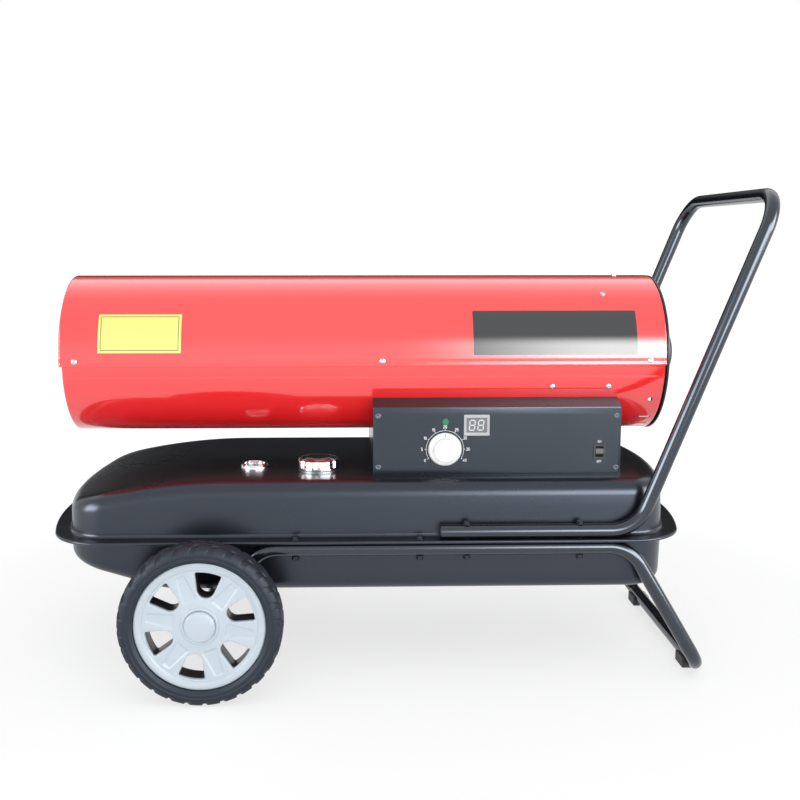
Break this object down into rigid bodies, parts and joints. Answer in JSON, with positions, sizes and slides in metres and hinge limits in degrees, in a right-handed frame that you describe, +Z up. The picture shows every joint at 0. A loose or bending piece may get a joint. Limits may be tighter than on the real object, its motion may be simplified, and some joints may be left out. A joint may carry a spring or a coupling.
{
  "type": "forced air heater",
  "caption": "Portable fuel-burning forced air heater: round barrel with fan and burner, on a control box and stamped fuel tank, in a tube frame with two wheels, a rear foot bar and push handle.",
  "frame": {"origin": "middle of the footprint in X and Y, on the ground", "axes": "+X along the barrel from hot outlet to fan inlet, +Y away from the control panel, +Z up"},
  "size_m": [1.156, 0.568, 0.781],
  "materials": {
    "red_paint": "gloss",
    "black_paint": "satin",
    "black_bolt": "satin",
    "zinc_steel": "zinc plated",
    "fire_steel": "bare, heat tinted",
    "cast_alloy": "cast",
    "motor_paint": "satin",
    "fan_alloy": "mill",
    "chrome": "polished",
    "brass": "turned",
    "ceramic": "glazed",
    "rubber": "matte",
    "copper": "drawn tube",
    "tyre": "matte",
    "wheel_plastic": "satin grey",
    "knob_plastic": "white",
    "lamp": "green",
    "display": "light grey",
    "black_plastic": "moulded",
    "board": "green laminate",
    "shaft_steel": "turned",
    "foam": "felt",
    "lens": "clear"
  },
  "bodies": {
    "frame": {"upper_shell": "red_paint", "lower_shell": "red_paint", "tank_upper": "black_paint", "tank_lower": "black_paint", "handle": "black_paint", "lower_frame": "black_paint", "control_housing": "black_paint", "control_panel": "black_paint", "rear_guard": "black_paint", "frame_bolts": "black_bolt", "frame_nuts": "black_bolt", "panel_screws": "black_bolt", "shell_screws": "zinc_steel", "axle": "zinc_steel", "axle_clips": "zinc_steel", "motor_mount": "zinc_steel", "filler_neck": "zinc_steel", "combustion_chamber": "fire_steel", "flame_deflector": "fire_steel", "burner_head": "fire_steel", "pump_body": "cast_alloy", "pump_end_cover": "cast_alloy", "motor_body": "motor_paint", "gauge_body": "chrome", "spray_nozzle": "brass", "fuel_pickup": "brass", "drain_plug": "brass", "igniter_electrodes": "ceramic", "foot_pads": "rubber", "cord_gland": "rubber", "air_pipe": "copper", "fuel_pipe": "copper", "power_lamp": "lamp", "display_module": "display", "switch_body": "black_plastic", "thermostat": "black_plastic", "overheat_switch": "black_plastic", "flame_sensor": "black_plastic", "ignition_transformer": "black_plastic", "filter_cover": "black_plastic", "circuit_board": "board", "air_filter": "foam", "gauge_lens": "lens"},
    "wheel_left": {"tyre_left": "tyre", "wheel_left": "wheel_plastic", "hub_cap_left": "wheel_plastic"},
    "wheel_right": {"tyre_right": "tyre", "wheel_right": "wheel_plastic", "hub_cap_right": "wheel_plastic"},
    "rotor": {"motor_shaft": "zinc_steel", "fan": "fan_alloy", "pump_rotor": "cast_alloy"},
    "knob": {"knob": "knob_plastic", "thermostat_shaft": "shaft_steel"},
    "rocker": {"switch_rocker": "black_plastic"},
    "cap_lift": {"cap_gasket": "rubber"},
    "cap": {"fuel_cap": "chrome"},
    "float": {"gauge_float": "foam"},
    "pointer": {"gauge_pointer": "cast_alloy"},
    "pressure_screw": {"pressure_screw": "zinc_steel"}
  },
  "joints": [
    {"name": "wheel_left_spin", "type": "hinge", "parent": "frame", "child": "wheel_left", "pos_m": [-0.31241, -0.259, 0.125], "axis": [0, 1, 0], "continuous": true},
    {"name": "wheel_right_spin", "type": "hinge", "parent": "frame", "child": "wheel_right", "pos_m": [-0.31241, 0.259, 0.125], "axis": [0, 1, 0], "continuous": true},
    {"name": "rotor_spin", "type": "hinge", "parent": "frame", "child": "rotor", "pos_m": [0.28899, 0, 0.508], "axis": [1, 0, 0], "continuous": true},
    {"name": "knob_turn", "type": "hinge", "parent": "frame", "child": "knob", "pos_m": [0.06699, -0.15, 0.367], "axis": [0, 1, 0], "range_deg": [-120, 120]},
    {"name": "rocker_tilt", "type": "hinge", "parent": "frame", "child": "rocker", "pos_m": [0.31634, -0.144, 0.36225], "axis": [1, 0, 0], "range_deg": [0, 24]},
    {"name": "cap_lift", "type": "slide", "parent": "frame", "child": "cap_lift", "axis": [0, 0, 1], "range_m": [0, 0.045]},
    {"name": "cap_turn", "type": "hinge", "parent": "cap_lift", "child": "cap", "pos_m": [-0.13701, -0.097, 0.335], "axis": [0, 0, 1], "range_deg": [0, 90]},
    {"name": "float_rise", "type": "slide", "parent": "frame", "child": "float", "axis": [0, 0, 1], "range_m": [0, 0.13]},
    {"name": "pointer_turn", "type": "hinge", "parent": "frame", "child": "pointer", "pos_m": [-0.24401, -0.082, 0.172], "axis": [0, 0, 1], "range_deg": [-276, 2]},
    {"name": "pressure_screw_turn", "type": "hinge", "parent": "frame", "child": "pressure_screw", "pos_m": [0.38509, 0, 0.462], "axis": [1, 0, 0], "range_deg": [-360, 360]}
  ],
  "couplings": [
    {"joint": "pointer_turn", "follows": "float_rise", "rad_per_m": -36.249}
  ]
}
